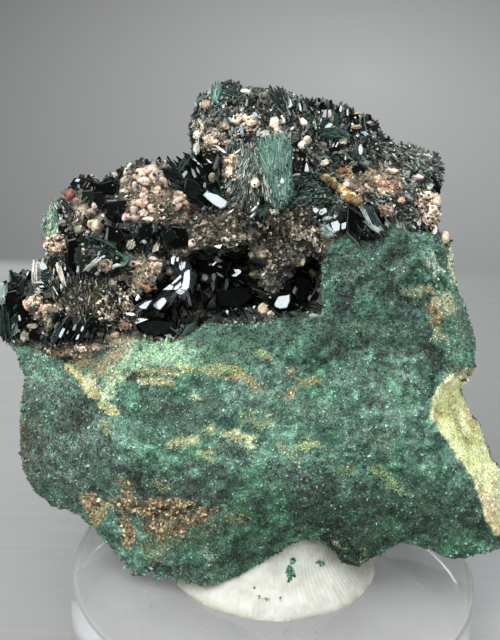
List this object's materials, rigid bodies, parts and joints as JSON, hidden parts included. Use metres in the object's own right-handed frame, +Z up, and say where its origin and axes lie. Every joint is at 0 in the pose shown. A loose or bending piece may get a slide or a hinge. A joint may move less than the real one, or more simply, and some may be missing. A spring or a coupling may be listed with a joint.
{
  "type": "vandenbrandeite mineral specimen on a clear round base",
  "caption": "Green vandenbrandeite specimen with black bladed crystals and cream crusts, held upright in white putty on a clear acrylic round.",
  "frame": {"origin": "centre of the acrylic round's underside, on the surface it stands on", "axes": "+Z up, +X to the right along the specimen's width, -Y towards the viewer of the main green face"},
  "size_m": [0.0484, 0.0382, 0.0549],
  "materials": {
    "clear_acrylic": "clear cast acrylic, polished, with a softened rim",
    "putty": "kneaded off-white putty with finger ridges",
    "green_velvet": "velvety crust of tiny dark green crystals with pale glints and yellow-green streaks",
    "black_crystal": "glassy black-green tabular crystals",
    "teal_crystal": "silky teal-green columns",
    "bright_plate": "pale, pearly stacked plates",
    "brown_sheaf": "fibrous brown sheaf",
    "cream_grain": "sugary cream grains",
    "rosy_grain": "pinkish cream grains",
    "ochre": "rough ochre"
  },
  "bodies": {
    "root": {"acrylic_round": "clear_acrylic", "putty_mound": "putty", "green_matrix": "green_velvet", "left_edge_blades": "black_crystal", "tabular_crystals": "black_crystal", "blade_fan": "black_crystal", "crest_comb": "black_crystal", "pocket_blades": "black_crystal", "green_columns": "teal_crystal", "stacked_plates": "bright_plate", "wheat_sheaf": "brown_sheaf", "cream_crust": "cream_grain", "cream_knobs": "cream_grain", "rosy_crust": "rosy_grain", "ochre_rod": "ochre"}
  },
  "joints": []
}
